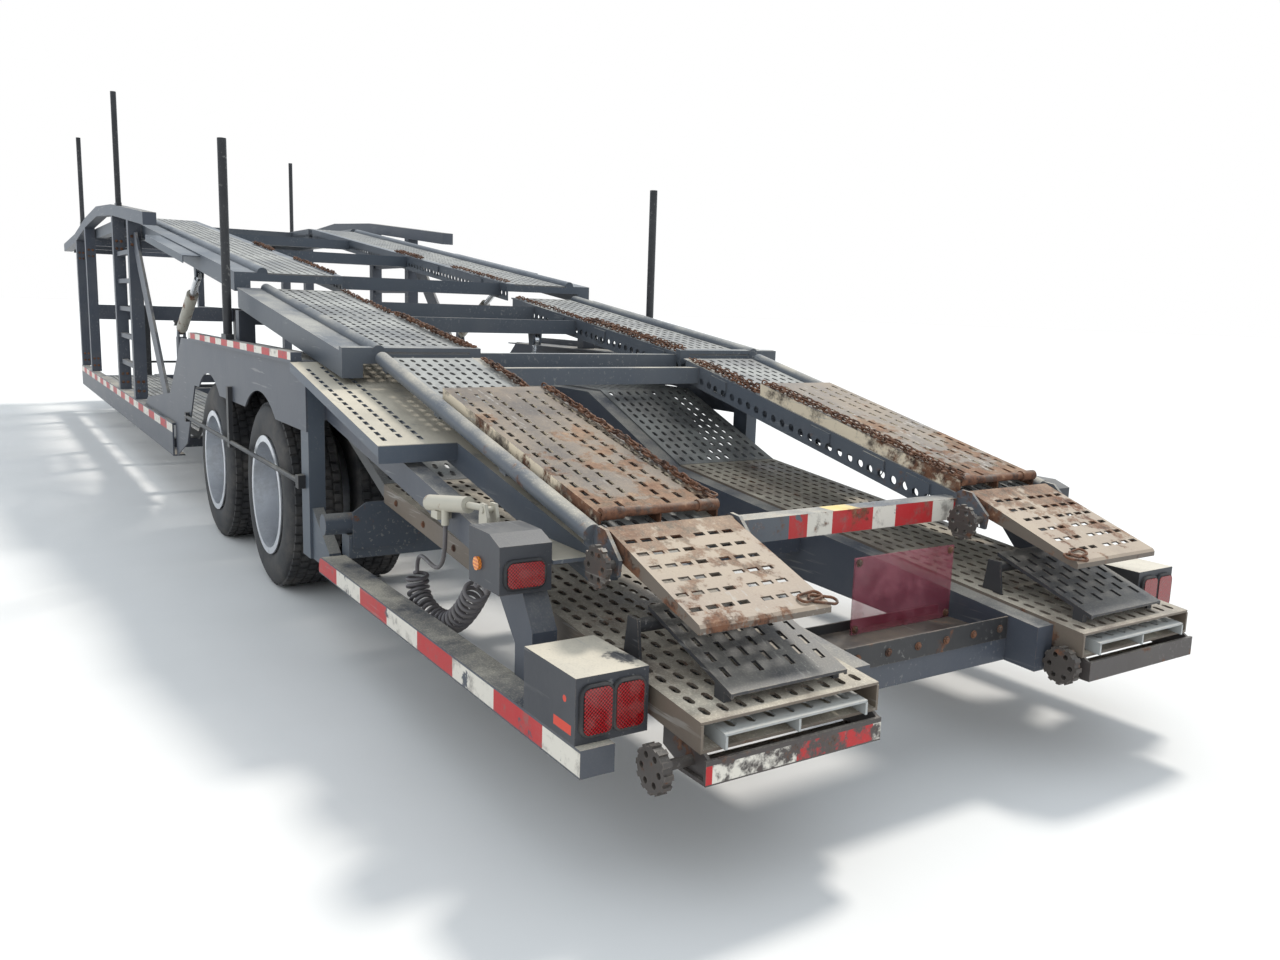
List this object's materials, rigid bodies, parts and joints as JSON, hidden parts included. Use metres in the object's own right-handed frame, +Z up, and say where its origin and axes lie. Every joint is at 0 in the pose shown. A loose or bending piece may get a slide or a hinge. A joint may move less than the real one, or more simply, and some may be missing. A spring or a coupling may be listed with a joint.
{
  "type": "car transporter semi-trailer",
  "caption": "Two-level car-carrying semi-trailer with slotted runways, hinged upper decks, flip ramps, slide-out loading ramps and dual-wheel axles.",
  "frame": {"origin": "centre of the bounding box at ground level", "axes": "+X forwards along the trailer, +Y to its left side, +Z up"},
  "size_m": [14.8, 2.59, 3.2603],
  "materials": {
    "frame_paint": "charcoal blue paint, dusty and scuffed",
    "deck_paint": "worn grey paint with pale dust",
    "deck_steel": "worn dark paint, polished by tyres",
    "black_paint": "black paint, slightly faded",
    "rusty_steel": "rusty steel",
    "zinc": "worn bright steel",
    "forged_steel": "bare forged steel",
    "chrome_rod": "polished",
    "aluminium_rim": "polished aluminium",
    "tyre": "matt black rubber",
    "red_plastic": "translucent red sheet",
    "red_lens": "glossy red lens",
    "amber_lens": "glossy amber lens",
    "cord_rubber": "satin black sheath"
  },
  "bodies": {
    "trailer": {"amber_lenses": "amber_lens", "axles": "black_paint", "bridge_plates": "deck_steel", "cord_lead_in": "cord_rubber", "cord_lead_out": "cord_rubber", "cross_members": "frame_paint", "curly_cord": "cord_rubber", "fender_slopes": "deck_paint", "fenders": "frame_paint", "front_deck": "deck_paint", "front_deck_plates": "deck_steel", "gooseneck": "frame_paint", "hinge_stands": "frame_paint", "kingpin": "forged_steel", "lamp_arms": "frame_paint", "lamp_boxes": "black_paint", "landing_legs": "black_paint", "low_rails": "frame_paint", "lower_runways": "deck_steel", "lower_tails": "deck_steel", "lower_winches": "rusty_steel", "main_beams": "frame_paint", "poles": "black_paint", "rear_fittings": "black_paint", "rear_posts": "frame_paint", "rear_tray": "black_paint", "red_lenses": "red_lens", "red_panel": "red_plastic", "side_sills": "frame_paint", "suspension": "black_paint", "tail_bumpers": "rusty_steel", "top_rails": "frame_paint", "towers": "frame_paint", "wheel_guards": "black_paint"},
    "tail_deck": {"tail_deck": "deck_paint", "tail_deck_plates": "deck_steel", "raised_plates": "deck_steel", "upper_winches": "rusty_steel", "tail_chains": "rusty_steel"},
    "rear_deck": {"rear_deck": "deck_paint", "rear_deck_plates": "deck_steel", "rear_chains": "rusty_steel"},
    "mid_deck": {"mid_deck": "deck_paint", "mid_deck_plates": "deck_steel"},
    "flip_ramp_left": {"flip_ramp_left": "rusty_steel"},
    "flip_ramp_right": {"flip_ramp_right": "rusty_steel"},
    "loading_ramp_left": {"loading_ramp_left": "zinc"},
    "loading_ramp_right": {"loading_ramp_right": "zinc"},
    "mid_barrels": {"mid_lift_barrels": "black_paint"},
    "mid_rods": {"mid_lift_rods": "chrome_rod"},
    "rear_barrels": {"rear_lift_barrels": "black_paint"},
    "rear_rods": {"rear_lift_rods": "chrome_rod"},
    "wheels_rear_left": {"tyres_rear_left": "tyre", "rims_rear_left": "aluminium_rim"},
    "wheels_rear_right": {"tyres_rear_right": "tyre", "rims_rear_right": "aluminium_rim"},
    "wheels_front_left": {"tyres_front_left": "tyre", "rims_front_left": "aluminium_rim"},
    "wheels_front_right": {"tyres_front_right": "tyre", "rims_front_right": "aluminium_rim"}
  },
  "joints": [
    {"name": "wheels_rear_left_spin", "type": "hinge", "parent": "trailer", "child": "wheels_rear_left", "pos_m": [-3.83, 0.945, 0.475], "axis": [0, 1, 0], "continuous": true},
    {"name": "wheels_rear_right_spin", "type": "hinge", "parent": "trailer", "child": "wheels_rear_right", "pos_m": [-3.83, -0.945, 0.475], "axis": [0, 1, 0], "continuous": true},
    {"name": "wheels_front_left_spin", "type": "hinge", "parent": "trailer", "child": "wheels_front_left", "pos_m": [-2.52, 0.945, 0.475], "axis": [0, 1, 0], "continuous": true},
    {"name": "wheels_front_right_spin", "type": "hinge", "parent": "trailer", "child": "wheels_front_right", "pos_m": [-2.52, -0.945, 0.475], "axis": [0, 1, 0], "continuous": true},
    {"name": "mid_deck_lift", "type": "hinge", "parent": "trailer", "child": "mid_deck", "pos_m": [1.8, 0, 2.14], "axis": [0, 1, 0], "range_deg": [0, 5]},
    {"name": "rear_deck_lift", "type": "hinge", "parent": "trailer", "child": "rear_deck", "pos_m": [-2.95, 0, 1.455], "axis": [0, 1, 0], "range_deg": [0, 8]},
    {"name": "tail_deck_tilt", "type": "hinge", "parent": "rear_deck", "child": "tail_deck", "pos_m": [-4.95, 0, 1.19], "axis": [0, 1, 0], "range_deg": [0, 12]},
    {"name": "flip_ramp_left_fold", "type": "hinge", "parent": "tail_deck", "child": "flip_ramp_left", "pos_m": [-6.8, 0.773, 0.838], "axis": [0, 1, 0], "range_deg": [0, 110]},
    {"name": "flip_ramp_right_fold", "type": "hinge", "parent": "tail_deck", "child": "flip_ramp_right", "pos_m": [-6.8, -0.773, 0.838], "axis": [0, 1, 0], "range_deg": [0, 110]},
    {"name": "loading_ramp_left_slide", "type": "slide", "parent": "trailer", "child": "loading_ramp_left", "axis": [-0.9951, 0, -0.0989], "range_m": [0, 1.2]},
    {"name": "loading_ramp_right_slide", "type": "slide", "parent": "trailer", "child": "loading_ramp_right", "axis": [-0.9951, 0, -0.0989], "range_m": [0, 1.2]},
    {"name": "mid_barrel_tilt", "type": "hinge", "parent": "trailer", "child": "mid_barrels", "pos_m": [-0.75, 0, 1.21], "axis": [0, 1, 0], "range_deg": [0, 13.02]},
    {"name": "mid_rod_slide", "type": "slide", "parent": "mid_barrels", "child": "mid_rods", "axis": [-0.8877, 0, 0.4605], "range_m": [0, 0.19214]},
    {"name": "rear_barrel_tilt", "type": "hinge", "parent": "trailer", "child": "rear_barrels", "pos_m": [-3.82, 0, 0.85], "axis": [0, 1, 0], "range_deg": [-2.12, 0]},
    {"name": "rear_rod_slide", "type": "slide", "parent": "rear_barrels", "child": "rear_rods", "axis": [0.0349, 0, 0.9994], "range_m": [0, 0.12064]}
  ],
  "couplings": [
    {"joint": "mid_barrel_tilt", "follows": "mid_deck_lift", "ratio": 2.6022},
    {"joint": "mid_rod_slide", "follows": "mid_deck_lift", "m_per_rad": 2.1995},
    {"joint": "rear_barrel_tilt", "follows": "rear_deck_lift", "ratio": -0.26319},
    {"joint": "rear_rod_slide", "follows": "rear_deck_lift", "m_per_rad": 0.86256}
  ]
}
